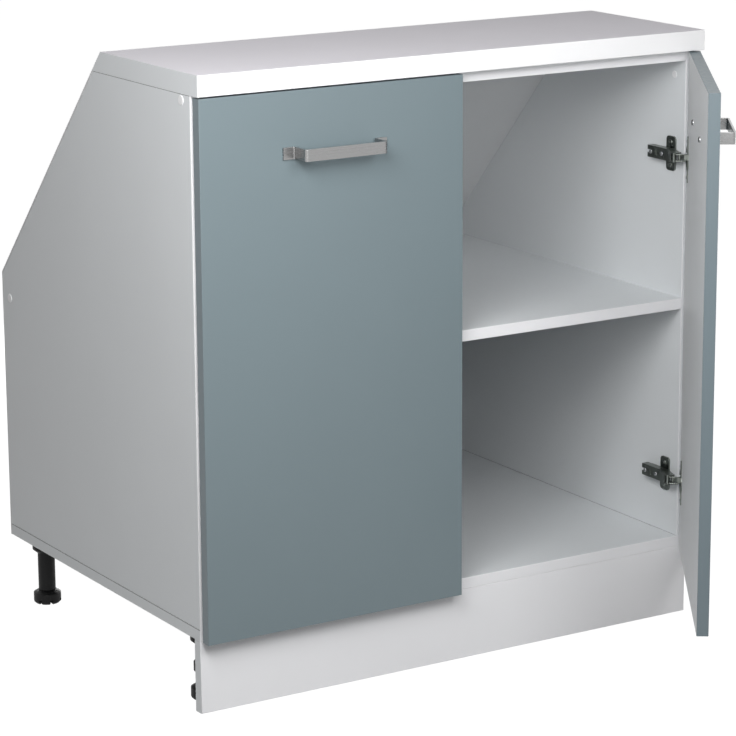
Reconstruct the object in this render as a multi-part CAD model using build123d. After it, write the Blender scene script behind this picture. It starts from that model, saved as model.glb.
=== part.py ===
from build123d import *
from collections import namedtuple
import math
import os

# All lengths are millimetres. X is 0 in the middle of the width, Z is 0 on the floor, and Y is 0 in the
# middle of the plinth board's thickness. The front looks along -Y.

# Carcass
width = 800.0
height = 850.0
carcass_depth = 580.0
board = 16.0
plinth_height = 100.0
back_thickness = 3.0
shelf_drop = 27.0
rail_depth = 96.0

# Worktop and slope
worktop_thickness = 28.0
worktop_overhang = 20.0
worktop_edge_round = 1.2
worktop_depth = 247.0
slope_foot_height = 495.0

# Doors, closed
door_thickness = 16.0
door_gap_behind = 4.0
door_side_reveal = 1.5
door_middle_gap = 3.0
door_top_gap = 2.0
door_edge_round = 0.8
left_rest_angle = 0.0
right_rest_angle = 55.7

# Joinery
fit_clearance = 0.05
dowel_radius = 4.0
dowel_length = 30.0
dowel_in_face = 9.0
front_joint_depth = 22.8
rear_joint_inset = 21.4
rail_dowel_depth = 74.0
shelf_dowel_depth = 60.0
worktop_dowel_depths = (60.0, 190.0)
bottom_screw_depths = (50.0, 290.0, 530.0)
bottom_dowel_depth = 170.0
worktop_screw_spacing = 250.0
cap_radius = 6.4
cap_height = 1.2
cap_crown = 0.5
hole_cap_radius = 5.0
hole_cap_height = 0.8
hole_cap_spigot_radius = 2.5
hole_cap_spigot = 8.0
hole_cap_depth = 25.1
hole_cap_drop = 38.0
nail_spacing = 230.0
nail_rows = 3

Screw = namedtuple("Screw", "head_radius head_height shank_radius length")
carcass_screw = Screw(head_radius=4.5, head_height=3.5, shank_radius=2.5, length=50.0)
worktop_screw = Screw(head_radius=4.0, head_height=2.8, shank_radius=1.9, length=32.0)
clip_screw = Screw(head_radius=3.4, head_height=2.2, shank_radius=1.6, length=13.0)
nail = Screw(head_radius=1.6, head_height=0.8, shank_radius=0.7, length=20.0)
handle_screw = Screw(head_radius=4.0, head_height=2.2, shank_radius=2.0, length=20.5)
plate_screw = Screw(head_radius=4.0, head_height=1.8, shank_radius=2.5, length=15.0)
adjusting_screw = Screw(head_radius=3.2, head_height=1.8, shank_radius=2.0, length=11.5)
cup_screw = Screw(head_radius=3.6, head_height=1.5, shank_radius=1.75, length=14.0)

# Legs and feet
leg_side_inset = 36.5
leg_front_depth = 55.0
leg_rear_depth = 540.0
leg_head_radius = 19.75
leg_head_height = 18.0
leg_cone_height = 6.0
leg_tube_radius = 12.5
leg_spigot_radius = 5.0
leg_spigot_length = 12.0
foot_radius = 20.0
foot_rim_height = 15.4
foot_height = 20.0
foot_chamfer = 2.4
foot_stem_radius = 10.0
foot_stem_length = 48.0
foot_thread_clearance = 0.3
foot_travel = 20.0
foot_notches = 7
foot_notch_width = 4.5
foot_notch_height = 6.5
foot_notch_depth = 3.0
foot_notch_first_angle = 29.0

# Plinth clips
clip_level = 39.0
clip_height = 12.0
clip_ring_thickness = 3.2
clip_mouth = 17.0
clip_arm_width = 9.0
clip_plate_width = 44.0
clip_plate_height = 24.0
clip_plate_thickness = 3.0
clip_screw_spacing = 28.0

# Handles
handle_projection = 30.0
handle_strap = 3.0
handle_strap_height = 16.0
handle_legs = 124.0
handle_length = 156.0
handle_bend = 3.2
handle_below_top = 80.0
handle_screw_spacing = 141.0

# Hinges: distance of their middles from the ends of the door, and the cup
hinge_top_distance = 148.0
hinge_bottom_distance = 104.0
cup_radius = 17.5
cup_depth = 12.2
cup_floor = 0.6
cup_wall = 0.8
cup_edge_distance = 5.0
cup_flange_thickness = 1.5
cup_flange_length = 65.0
cup_flange_width = 13.0
cup_flange_round = 4.3
cup_rim = 1.0
cup_screw_spacing = 52.0
cup_screw_offset = 5.5
cup_window_width = 12.0
cup_window_depth = 9.5

# Hinge mounting plate and arm, in the hinge plane: u runs from the side panel's inner face into the
# cabinet, v runs from the front edge of the side panel towards the room
plate_wing_length = 49.0
plate_wing_width = 20.0
plate_wing_thickness = 2.5
plate_wing_round = 5.0
plate_wing_depth = 28.0
plate_screw_spacing = 32.0
plate_block_front = 20.0
plate_block_rear = 61.0
plate_block_chamfer = 1.7
arm_sheet = 1.5
arm_height = 17.0
arm_reach = 15.0
arm_flange_depth = 10.5
arm_rear = 65.0
arm_neck_start = 14.0
arm_neck_end = 5.0
arm_nose_sheet = 1.2
arm_eye = 2.4
adjusting_screw_depths = (32.0, 57.0)

# Hinge linkage. Arm pins are in the hinge plane (u, v), cup pins in door coordinates (a, b): a runs from
# the door's hinge edge across it, b from its inner face towards the room. The rates are the turn of a link
# for each degree that the door opens. The bends of a link are measured from its cup pin, closed.
arm_pin_outer = (12.1, 5.0)
arm_pin_inner = (20.6, 3.43)
cup_pin_outer = (8.3, 9.5)
cup_pin_inner = (9.9, 5.7)
outer_link_rate = -0.1646
inner_link_rate = -0.273
inner_link_length = 25.12
inner_link_angle = 165.98
inner_link_play = 0.9
arm_pin_radius = 1.2
cup_pin_radius = 0.9
pin_clearance = 0.06
outer_link_width = 7.6
outer_link_strap = 1.2
outer_link_cup_eye = 1.7
outer_link_arm_eye = 2.3
outer_link_bends = ((3.8, 0.9), (9.8, 1.2), (14.2, -1.2))
outer_link_bend_radius = 2.0
inner_link_gap = 8.2
inner_link_cheek = 1.2
inner_link_height = 2.4
inner_link_cup_eye = 2.35
inner_link_hub = 2.3
inner_link_bends = ((3.8, 1.4), (9.8, 1.7), (15.9, -0.5))
inner_link_bend_radius = 4.0
link_side_gap = 0.2

# Places that follow from the sizes above
front = -board / 2
rear = front + carcass_depth
side_x = width / 2 - board
deck = plinth_height + board
worktop_underside = height - worktop_thickness
rail_level = worktop_underside - board
hole_cap_level = worktop_underside - hole_cap_drop
shelf_height = slope_foot_height - shelf_drop - board
slope_rise = height - slope_foot_height
slope_run = carcass_depth - worktop_depth
slope_angle = math.atan2(slope_rise, slope_run)
back_inner = rear - back_thickness
door_width = (width - 2 * door_side_reveal - door_middle_gap) / 2
door_bottom = plinth_height
door_top = worktop_underside - door_top_gap
hinge_levels = {"upper": door_top - hinge_top_distance, "lower": door_bottom + hinge_bottom_distance}
handle_level = door_top - handle_below_top
handle_middle = door_width / 2
cup_middle = cup_edge_distance + cup_radius
cup_bore_radius = cup_radius + fit_clearance
cup_inner_radius = cup_radius - cup_wall
door_closed_corner = Vector(-(board - door_side_reveal), door_gap_behind)
door_rest_angle = {"left": left_rest_angle, "right": right_rest_angle}


def slope_y(level, inset=0.0):
    """Depth of the sloping plane at a height, moved square to itself into the cabinet by inset."""
    return front + worktop_depth + (height - level) * slope_run / slope_rise - inset / math.sin(slope_angle)


def slope_level(depth, inset=0.0):
    """Height of the sloping plane at a depth."""
    return height - (depth - front - worktop_depth + inset / math.sin(slope_angle)) * slope_rise / slope_run


def block(x, y, z):
    """Box between pairs of limits."""
    size = [high - low for low, high in (x, y, z)]
    return Pos(x[0], y[0], z[0]) * Box(*size, align=(Align.MIN, Align.MIN, Align.MIN))


def profile_slab(points, x_limits):
    """Outline of (y, z) points, extruded across the cabinet."""
    outline = Plane.YZ.offset(x_limits[0]) * make_face(Polyline(*points, close=True))
    return extrude(outline, x_limits[1] - x_limits[0])


def rod(radius, start, direction, length):
    """Round bar from a point along a direction."""
    base = Cylinder(radius, length, align=(Align.CENTER, Align.CENTER, Align.MIN))
    return Plane(origin=start, z_dir=direction).location * base


def turned(points):
    """Solid of revolution about Z from (radius, height) points."""
    return revolve(Plane.XZ * make_face(Polyline(*points, close=True)), Axis.Z)


def countersunk(screw, clearance=0.0):
    """Screw with its flat head at Z 0, pointing along -Z, or its hole when there is a clearance."""
    head = screw.head_radius + clearance
    shank = screw.shank_radius + clearance
    end = -screw.length - clearance
    points = [(0, 0), (head, 0), (shank, -screw.head_height), (shank, end + shank), (0, end)]
    return turned(points)


def pan_head(screw, clearance=0.0):
    """Screw whose round head stands on the surface at Z 0, or its shank's hole when there is a clearance."""
    shank = screw.shank_radius + clearance
    end = screw.head_height - screw.length - clearance
    if clearance:
        return turned([(0, 0), (shank, 0), (shank, end), (0, end)])
    head = screw.head_radius
    rim = screw.head_height / 2
    return turned([(0, end), (shank, end), (shank, 0), (head, 0), (head, rim), (head - rim, screw.head_height),
                   (0, screw.head_height)])


def aimed(shape, at, outward):
    """Places a shape drawn about Z so that its +Z looks outward from a point."""
    return Plane(origin=at, z_dir=outward).location * shape


def opposite(shape):
    """Mirror image on the other side of the cabinet."""
    return mirror(shape, about=Plane.YZ)


def both_sides(shapes):
    """Right-hand shapes with their left-hand mirror images."""
    return shapes + [opposite(shape) for shape in shapes]


def on_side(side, shape):
    """Shapes are drawn for the right-hand side."""
    return shape if side == "right" else opposite(shape)


def group(shapes):
    """Separate solids that share one node."""
    return Compound([solid for shape in shapes for solid in shape.solids()])


def evenly(first, last, count):
    """Places from first to last in equal steps."""
    return [first + (last - first) * index / (count - 1) for index in range(count)]


# Fasteners of the carcass, each drawn for the right-hand side

def side_joint_places():
    """Points on the right side panel's outer face in line with the rail and with the shelf."""
    return [(width / 2, front + front_joint_depth, rail_level + board / 2),
            (width / 2, back_inner - rear_joint_inset, shelf_height + board / 2)]


def side_joints(make, clearance=0.0):
    """Screws through the right side panel into the rail's and the shelf's ends."""
    return [aimed(make(carcass_screw, clearance), at, (1, 0, 0)) for at in side_joint_places()]


def bottom_joints(make, clearance=0.0):
    """Screws up through the bottom panel into the right side panel."""
    x = side_x + board / 2
    places = [(x, front + depth, plinth_height) for depth in bottom_screw_depths]
    return [aimed(make(carcass_screw, clearance), at, (0, 0, -1)) for at in places]


def side_dowels(clearance=0.0):
    """Dowels on the right-hand side: rail, shelf, worktop and bottom panel."""
    radius = dowel_radius + clearance
    length = dowel_length + 2 * clearance
    across = [(front + rail_dowel_depth, rail_level + board / 2),
              (front + shelf_dowel_depth, shelf_height + board / 2)]
    start_x = side_x - (dowel_length - dowel_in_face) - clearance
    dowels = [rod(radius, (start_x, y, z), (1, 0, 0), length) for y, z in across]
    x = side_x + board / 2
    low = worktop_underside + dowel_in_face - dowel_length - clearance
    dowels += [rod(radius, (x, front + depth, low), (0, 0, 1), length) for depth in worktop_dowel_depths]
    bottom = deck - dowel_in_face - clearance
    dowels.append(rod(radius, (x, front + bottom_dowel_depth, bottom), (0, 0, 1), length))
    return dowels


def worktop_screws(clearance=0.0):
    """Screws up through the front rail into the worktop."""
    y = front + rail_depth / 2
    places = [(column * worktop_screw_spacing, y, rail_level) for column in (-1, 0, 1)]
    return [aimed(countersunk(worktop_screw, clearance), at, (0, 0, -1)) for at in places]


def back_nails(clearance=0.0):
    """Nails that hold the lower and the sloped back panel."""
    x = side_x + board / 2
    outward = (0, math.sin(slope_angle), math.cos(slope_angle))
    low_levels = evenly(deck + board, slope_foot_height - board, nail_rows)
    places = [((x, rear, level), (0, 1, 0)) for level in low_levels]
    high_levels = evenly(slope_foot_height + board, worktop_underside - board, nail_rows)
    places += [((x, slope_y(level), level), outward) for level in high_levels]
    sides = both_sides([aimed(countersunk(nail, clearance), at, axis) for at, axis in places])
    rows = [(column * nail_spacing, rear, plinth_height + board / 2) for column in (-1, 0, 1)]
    rows += [(column * nail_spacing, rear, shelf_height + board / 2) for column in (-1, 1)]
    return sides + [aimed(countersunk(nail, clearance), at, (0, 1, 0)) for at in rows]


def hole_cap(clearance=0.0):
    """Cap over the spare hole inside the right side panel, with its spigot."""
    at = (side_x, front + hole_cap_depth, hole_cap_level)
    spigot = rod(hole_cap_spigot_radius + clearance, at, (1, 0, 0), hole_cap_spigot + clearance)
    if clearance:
        return spigot
    return spigot + rod(hole_cap_radius, at, (-1, 0, 0), hole_cap_height)


def screw_cap(at):
    """Crowned cap over a screw head on the outer face of the right side panel."""
    profile = [(0, 0), (cap_radius, 0), (cap_radius, cap_height - cap_crown),
               (cap_radius - cap_crown, cap_height), (0, cap_height)]
    return aimed(turned(profile), at, (1, 0, 0))


# Carcass boards

def side_panel():
    """Right side panel, standing on the bottom panel, with its rear edge on the slope."""
    outline = [(front, deck), (back_inner, deck), (back_inner, slope_level(back_inner, back_thickness)),
               (slope_y(worktop_underside, back_thickness), worktop_underside), (front, worktop_underside)]
    panel = profile_slab(outline, (side_x, width / 2))
    holes = side_joints(countersunk, fit_clearance) + bottom_joints(countersunk, fit_clearance)
    holes += side_dowels(fit_clearance) + back_nails(fit_clearance) + [hole_cap(fit_clearance)]
    holes += [hinge_place(level) * hole for level in hinge_levels.values() for hole in plate_screws(fit_clearance)]
    return panel - holes


def bottom_panel():
    """Full-width bottom with holes for the screws, the dowels and the legs' spigots."""
    panel = block((-width / 2, width / 2), (front, back_inner), (plinth_height, deck))
    sockets = [rod(leg_spigot_radius + fit_clearance, (x, y, plinth_height), (0, 0, 1),
                   leg_spigot_length + fit_clearance) for x, y in leg_places().values()]
    joints = both_sides(bottom_joints(countersunk, fit_clearance) + side_dowels(fit_clearance))
    return panel - sockets - joints - back_nails(fit_clearance)


def shelf():
    """Fixed shelf between the sides."""
    panel = block((-side_x, side_x), (front, back_inner), (shelf_height, shelf_height + board))
    joints = both_sides(side_joints(countersunk, fit_clearance) + side_dowels(fit_clearance))
    return panel - joints - back_nails(fit_clearance)


def front_rail():
    """Flat rail under the front of the worktop."""
    panel = block((-side_x, side_x), (front, front + rail_depth), (rail_level, worktop_underside))
    joints = both_sides(side_joints(countersunk, fit_clearance) + side_dowels(fit_clearance))
    return panel - joints - worktop_screws(fit_clearance)


def worktop():
    """Worktop whose rear edge is bevelled along the slope."""
    nose = front - worktop_overhang
    outline = [(nose, worktop_underside), (slope_y(worktop_underside), worktop_underside),
               (slope_y(height), height), (nose, height)]
    slab = profile_slab(outline, (-width / 2, width / 2))
    front_edges = slab.edges().filter_by(Axis.X).group_by(Axis.Y)[0]
    slab = fillet(front_edges, worktop_edge_round)
    return slab - worktop_screws(fit_clearance) - both_sides(side_dowels(fit_clearance))


def lower_back_panel():
    """Upright hardboard back, mitred to the sloped one."""
    outline = [(back_inner, plinth_height), (rear, plinth_height), (rear, slope_foot_height),
               (back_inner, slope_level(back_inner, back_thickness))]
    return profile_slab(outline, (-width / 2, width / 2)) - back_nails(fit_clearance)


def sloped_back_panel():
    """Sloped hardboard back from the mitre up to the worktop's underside."""
    outline = [(back_inner, slope_level(back_inner, back_thickness)), (rear, slope_foot_height),
               (slope_y(worktop_underside), worktop_underside),
               (slope_y(worktop_underside, back_thickness), worktop_underside)]
    return profile_slab(outline, (-width / 2, width / 2)) - back_nails(fit_clearance)


def plinth_board():
    """Plinth under the front edge of the bottom panel."""
    panel = block((-width / 2, width / 2), (front, front + board), (0, plinth_height))
    return panel - clip_screws(fit_clearance)


# Legs, feet and plinth clips

def leg_places():
    """Centre of each leg."""
    x = width / 2 - leg_side_inset
    depths = {"front": front + leg_front_depth, "rear": front + leg_rear_depth}
    hands = {"left": -x, "right": x}
    return {f"{row}_{side}": (hands[side], y) for row, y in depths.items() for side in hands}


def leg(x, y):
    """Leg with its round head, its press-in spigot and the bore for the foot's stem."""
    head_bottom = plinth_height - leg_head_height
    bore = foot_stem_radius + foot_thread_clearance
    profile = [(0, plinth_height + leg_spigot_length), (leg_spigot_radius, plinth_height + leg_spigot_length),
               (leg_spigot_radius, plinth_height), (leg_head_radius, plinth_height),
               (leg_head_radius, head_bottom), (leg_tube_radius, head_bottom - leg_cone_height),
               (leg_tube_radius, foot_height), (bore, foot_height), (bore, head_bottom), (0, head_bottom)]
    return Pos(x, y) * turned(profile)


def foot(x, y):
    """Screw-adjusted foot: chamfered disc with grip notches, and its stem."""
    profile = [(0, 0), (foot_radius - foot_chamfer, 0), (foot_radius, foot_chamfer), (foot_radius, foot_rim_height),
               (leg_tube_radius, foot_height), (foot_stem_radius, foot_height),
               (foot_stem_radius, foot_height + foot_stem_length), (0, foot_height + foot_stem_length)]
    notch = block((foot_radius - foot_notch_depth, foot_radius + foot_notch_depth),
                  (-foot_notch_width / 2, foot_notch_width / 2), (-foot_notch_height, foot_notch_height))
    step = 360 / foot_notches
    notches = [Rot(0, 0, foot_notch_first_angle + step * index) * notch for index in range(foot_notches)]
    return Pos(x, y) * (turned(profile) - notches)


def clip_places():
    """The clips sit on the two front legs."""
    return [place for name, place in leg_places().items() if name.startswith("front")]


def plinth_clip(x, y):
    """Open ring that snaps on a leg, with an arm and a plate on the back of the plinth."""
    inner = leg_tube_radius + fit_clearance
    outer = inner + clip_ring_thickness
    mouth = block((-clip_mouth / 2, clip_mouth / 2), (0, outer), (0, clip_height))
    ring = extrude(Circle(outer) - Circle(inner), clip_height) - mouth
    plinth_back = front + board - y
    plate_face = plinth_back + clip_plate_thickness
    arm = block((-clip_arm_width / 2, clip_arm_width / 2), (plate_face, -inner), (0, clip_height))
    arm -= extrude(Circle(inner), clip_height)
    plate_bottom = (clip_height - clip_plate_height) / 2
    plate = block((-clip_plate_width / 2, clip_plate_width / 2), (plinth_back, plate_face),
                  (plate_bottom, plate_bottom + clip_plate_height))
    return Pos(x, y, clip_level) * (ring + arm + plate)


def clip_screws(clearance=0.0):
    """Screws of the clips' plates into the plinth."""
    y = front + board + clip_plate_thickness
    z = clip_level + clip_height / 2
    places = [(x + hand * clip_screw_spacing / 2, y, z) for x, _ in clip_places() for hand in (-1, 1)]
    return [aimed(countersunk(clip_screw, clearance), at, (0, 1, 0)) for at in places]


# Door, drawn in door coordinates (a, b, z)

def door_corner(angle):
    """Hinge-side inner corner of the door in the hinge plane, at an opening angle in degrees."""
    pivot = Vector(*arm_pin_outer)
    reach = door_closed_corner + Vector(*cup_pin_outer) - pivot
    cup_pin = pivot + reach.rotate(Axis.Z, outer_link_rate * angle)
    return cup_pin - Vector(*cup_pin_outer).rotate(Axis.Z, angle)


def door_place(angle):
    """Location of the right door's coordinates at an opening angle."""
    corner = door_corner(angle)
    return Pos(side_x - corner.X, front - corner.Y) * Rot(0, 0, 180 + angle)


def cup_screws(clearance=0.0):
    """Screws of one cup's flange, about the middle of the hinge."""
    a = cup_middle + cup_screw_offset
    places = [(a, -cup_flange_thickness, hand * cup_screw_spacing / 2) for hand in (-1, 1)]
    return [aimed(countersunk(cup_screw, clearance), at, (0, -1, 0)) for at in places]


def handle_screws(clearance=0.0):
    """Screws from inside the door into the handle's tabs."""
    places = [(handle_middle + hand * handle_screw_spacing / 2, 0, handle_level) for hand in (-1, 1)]
    return [aimed(pan_head(handle_screw, clearance), at, (0, -1, 0)) for at in places]


def door_panel():
    """Door with rounded front edges, cup bores and handle holes."""
    panel = block((0, door_width), (0, door_thickness), (door_bottom, door_top))
    panel = fillet(panel.faces().sort_by(Axis.Y)[-1].edges(), door_edge_round)
    for level in hinge_levels.values():
        bore = rod(cup_bore_radius, (cup_middle, 0, level), (0, 1, 0), cup_depth + fit_clearance)
        panel -= [bore] + [Pos(0, 0, level) * hole for hole in cup_screws(fit_clearance)]
    return panel - handle_screws(fit_clearance)


def handle():
    """Bow handle bent from flat strap, with a tab turned outward at each end."""
    low = door_thickness + handle_strap / 2
    high = door_thickness + handle_projection - handle_strap / 2
    leg_line = (handle_legs - handle_strap) / 2
    end = handle_length / 2
    half = [(end, low), (leg_line, low), (leg_line, high)]
    path = half + [(-x, y) for x, y in reversed(half)]
    strap = trace(FilletPolyline(*path, radius=handle_bend), line_width=handle_strap)
    bow = extrude(strap, handle_strap_height)
    return Pos(handle_middle, 0, handle_level - handle_strap_height / 2) * bow - handle_screws(fit_clearance)


# Hinge cup, drawn in door coordinates about the middle of the hinge

def pin_seat(a):
    """Half length of a pin at distance a from the door's edge, its end held in the cup's round wall."""
    return math.sqrt(cup_radius ** 2 - (cup_middle - a + cup_pin_radius) ** 2) - fit_clearance


def hinge_cup():
    """Drawn cup with its rim and screw flange, open towards the hinge edge for the links."""
    shell = rod(cup_radius, (cup_middle, 0, 0), (0, 1, 0), cup_depth)
    rim = rod(cup_radius + cup_rim, (cup_middle, -cup_flange_thickness, 0), (0, 1, 0), cup_flange_thickness)
    a = cup_middle + cup_screw_offset
    flange = block((a - cup_flange_width / 2, a + cup_flange_width / 2), (-cup_flange_thickness, 0),
                   (-cup_flange_length / 2, cup_flange_length / 2))
    flange = fillet(flange.edges().filter_by(Axis.Y), cup_flange_round)
    hollow = rod(cup_inner_radius, (cup_middle, -cup_flange_thickness, 0), (0, 1, 0),
                 cup_flange_thickness + cup_depth - cup_floor)
    window = block((0, cup_edge_distance + cup_radius / 2), (-cup_flange_thickness, cup_window_depth),
                   (-cup_window_width / 2, cup_window_width / 2))
    return shell + rim + flange - [hollow, window] - cup_screws(fit_clearance) - cup_pins(fit_clearance)


def cup_pins(clearance=0.0):
    """Through pin of the outer link, and two stub pins for the cheeks of the inner link."""
    radius = cup_pin_radius + clearance
    half = pin_seat(cup_pin_outer[0])
    stub_end = pin_seat(cup_pin_inner[0])
    stub_start = inner_link_gap / 2
    pins = [rod(radius, (*cup_pin_outer, -half), (0, 0, 1), 2 * half)]
    pins += [rod(radius, (*cup_pin_inner, hand * stub_start), (0, 0, hand), stub_end - stub_start)
             for hand in (-1, 1)]
    return pins


# Hinge plate, arm and links, drawn in the hinge plane (u, v) about the middle of the hinge

def hinge_place(level):
    """Location of the hinge plane on the right side panel."""
    return Pos(side_x, front, level) * Rot(0, 0, 180)


def plate_screws(clearance=0.0):
    """Screws of one mounting plate, through its wings into the side panel."""
    places = [(plate_wing_thickness, -plate_wing_depth, hand * plate_screw_spacing / 2) for hand in (-1, 1)]
    return [aimed(pan_head(plate_screw, clearance), at, (1, 0, 0)) for at in places]


def adjusting_screws(clearance=0.0):
    """Screws through the arm into the mounting plate."""
    places = [(arm_reach, -depth, 0) for depth in adjusting_screw_depths]
    return [aimed(pan_head(adjusting_screw, clearance), at, (1, 0, 0)) for at in places]


def hinge_plate():
    """Mounting plate: wings on the panel and the block that the arm sits on."""
    half_wing = plate_wing_width / 2
    wings = block((0, plate_wing_thickness), (-plate_wing_depth - half_wing, -plate_wing_depth + half_wing),
                  (-plate_wing_length / 2, plate_wing_length / 2))
    wings = fillet(wings.edges().filter_by(Axis.X), plate_wing_round)
    half = arm_height / 2 - arm_sheet - fit_clearance
    body = block((0, arm_reach - arm_sheet), (-plate_block_rear, -plate_block_front), (-half, half))
    body = chamfer(body.edges().filter_by(Axis.X), plate_block_chamfer)
    return wings + body - plate_screws(fit_clearance) - adjusting_screws(fit_clearance)


def arm_pins(clearance=0.0):
    """Two pins across the arm's nose."""
    half = nose_half_width()
    radius = arm_pin_radius + clearance
    return [rod(radius, (*pin, -half), (0, 0, 1), 2 * half) for pin in (arm_pin_outer, arm_pin_inner)]


def nose_half_width():
    """Outer half width of the arm's nose, past the cheeks of the inner link."""
    return inner_link_gap / 2 + inner_link_cheek + link_side_gap + arm_nose_sheet


def rounded_span(discs):
    """Smallest outline round a set of discs, each (x, y, radius)."""
    rims = [edge for x, y, radius in discs for edge in (Pos(x, y) * Circle(radius)).edges()]
    return make_hull(rims)


def hinge_arm():
    """Pressed channel, slotted at its rear screw, that narrows to two ears round the pins of the links."""
    low = arm_reach - arm_flange_depth
    side = Pos((low + arm_reach) / 2, -(arm_rear + arm_neck_start) / 2) * Rectangle(
        arm_flange_depth, arm_rear - arm_neck_start)
    neck = arm_neck_start + arm_eye
    nose = rounded_span([(*arm_pin_outer, arm_eye), (*arm_pin_inner, arm_eye), (low + arm_eye, -neck, arm_eye),
                         (arm_reach - arm_eye, -neck, arm_eye)])
    wide, narrow = arm_height / 2, nose_half_width()
    tip = arm_pin_outer[1] + 2 * arm_eye
    half_plan = [(-arm_rear, wide), (-arm_neck_start, wide), (-arm_neck_end, narrow), (tip, narrow)]
    inner_plan = [(-arm_rear, wide - arm_sheet), (-arm_neck_start, wide - arm_sheet),
                  (-arm_neck_end, narrow - arm_nose_sheet), (tip, narrow - arm_nose_sheet)]
    reach = arm_pin_inner[0] + 2 * arm_eye
    solid = extrude(side + nose, wide, both=True) & plan_slab(half_plan, 0, reach)
    channel = plan_slab(inner_plan, 0, arm_reach - arm_sheet)
    gap_plan = [(-arm_neck_end, narrow - arm_nose_sheet), (tip, narrow - arm_nose_sheet)]
    gap = plan_slab(gap_plan, 0, reach)
    slot_half = adjusting_screw.shank_radius + fit_clearance
    rear_slot = plan_slab([(-arm_rear, slot_half), (-adjusting_screw_depths[-1], slot_half)], 0, arm_reach)
    return solid - [channel, gap, rear_slot] - adjusting_screws(fit_clearance) - arm_pins(fit_clearance)


def plan_slab(half_outline, low, high):
    """Outline of (v, half width) points, mirrored about the arm's middle and extruded along u."""
    outline = half_outline + [(v, -w) for v, w in reversed(half_outline)]
    return extrude(Plane.YZ.offset(low) * make_face(Polyline(*outline, close=True)), high - low)


def link_path(cup_end, bends, arm_end):
    """Middle line of a link from its cup pin over its bends to its arm pin."""
    return [(cup_end.X, cup_end.Y)] + [(cup_end.X + u, cup_end.Y + v) for u, v in bends] + [arm_end]


def outer_link():
    """Bent strap from the arm to the cup, with an eye at each end, closed position."""
    path = link_path(door_closed_corner + Vector(*cup_pin_outer), outer_link_bends, arm_pin_outer)
    strap = trace(FilletPolyline(*path, radius=outer_link_bend_radius), line_width=outer_link_strap)
    cup_end, arm_end = Pos(*path[0]), Pos(*path[-1])
    profile = strap + cup_end * Circle(outer_link_cup_eye) + arm_end * Circle(outer_link_arm_eye)
    profile -= cup_end * Circle(cup_pin_radius + pin_clearance)
    profile -= arm_end * Circle(arm_pin_radius + pin_clearance)
    return extrude(profile, outer_link_width / 2, both=True)


def inner_link():
    """Fork of two curved cheeks on a hub, with wide eyes for the play at the cup, closed position."""
    reach = Vector(inner_link_length, 0).rotate(Axis.Z, inner_link_angle)
    path = link_path(Vector(*arm_pin_inner) + reach, inner_link_bends, arm_pin_inner)
    bar = trace(FilletPolyline(*path, radius=inner_link_bend_radius), line_width=inner_link_height)
    cup_end, arm_end = Pos(*path[0]), Pos(*path[-1])
    bore = arm_end * Circle(arm_pin_radius + pin_clearance)
    outline = bar + cup_end * Circle(inner_link_cup_eye) + arm_end * Circle(inner_link_hub)
    outline -= cup_end * Circle(cup_pin_radius + inner_link_play)
    half_gap = inner_link_gap / 2
    cheek = Pos(0, 0, half_gap) * extrude(outline - bore, inner_link_cheek)
    hub = extrude(arm_end * Circle(inner_link_hub) - bore, half_gap, both=True)
    return cheek + mirror(cheek, about=Plane.XY) + hub


def swung(shape, pin, angle):
    """Turns a link about its arm pin."""
    return Pos(*pin) * Rot(0, 0, angle) * Pos(-pin[0], -pin[1]) * shape


# Every node, by name

def carcass_nodes():
    """Boards and their fasteners."""
    right_side = side_panel()
    return {
        "right_side_panel": right_side,
        "left_side_panel": opposite(right_side),
        "bottom_panel": bottom_panel(),
        "shelf": shelf(),
        "front_rail": front_rail(),
        "worktop": worktop(),
        "lower_back_panel": lower_back_panel(),
        "sloped_back_panel": sloped_back_panel(),
        "plinth_board": plinth_board(),
        "plinth_clips": group([plinth_clip(*place) - clip_screws(fit_clearance) for place in clip_places()]),
        "plinth_clip_screws": group(clip_screws()),
        "carcass_screws": group(both_sides(side_joints(countersunk) + bottom_joints(countersunk))),
        "screw_caps": group(both_sides([screw_cap(place) for place in side_joint_places()])),
        "inner_hole_caps": group(both_sides([hole_cap()])),
        "dowels": group(both_sides(side_dowels())),
        "worktop_screws": group(worktop_screws()),
        "back_panel_nails": group(back_nails()),
    }


def leg_nodes():
    """One leg and one foot at each corner."""
    nodes = {}
    for name, place in leg_places().items():
        nodes[f"{name}_leg"] = leg(*place)
        nodes[f"{name}_foot"] = foot(*place)
    return nodes


def door_nodes(side):
    """Door panel with its handle, cups and fasteners, at the side's rest angle."""
    place = door_place(door_rest_angle[side])
    levels = hinge_levels.values()
    nodes = {
        f"{side}_door_panel": place * door_panel(),
        f"{side}_handle": place * handle(),
        f"{side}_handle_screws": group([place * screw for screw in handle_screws()]),
        f"{side}_cup_screws": group([place * Pos(0, 0, z) * screw for z in levels for screw in cup_screws()]),
        f"{side}_cup_pins": group([place * Pos(0, 0, z) * pin for z in levels for pin in cup_pins()]),
    }
    for name, level in hinge_levels.items():
        nodes[f"{side}_{name}_hinge_cup"] = place * Pos(0, 0, level) * hinge_cup()
    return {name: on_side(side, shape) for name, shape in nodes.items()}


def hinge_nodes(side):
    """Mounting plates, arms and links of one side, at the side's rest angle."""
    angle = door_rest_angle[side]
    outer = swung(outer_link(), arm_pin_outer, outer_link_rate * angle)
    inner = swung(inner_link(), arm_pin_inner, inner_link_rate * angle)
    nodes = {}
    for name, level in hinge_levels.items():
        place = hinge_place(level)
        nodes[f"{side}_{name}_hinge_plate"] = place * hinge_plate()
        nodes[f"{side}_{name}_hinge_arm"] = place * hinge_arm()
        nodes[f"{side}_{name}_outer_link"] = place * outer
        nodes[f"{side}_{name}_inner_link"] = place * inner
    return {name: on_side(side, shape) for name, shape in nodes.items()}


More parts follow.
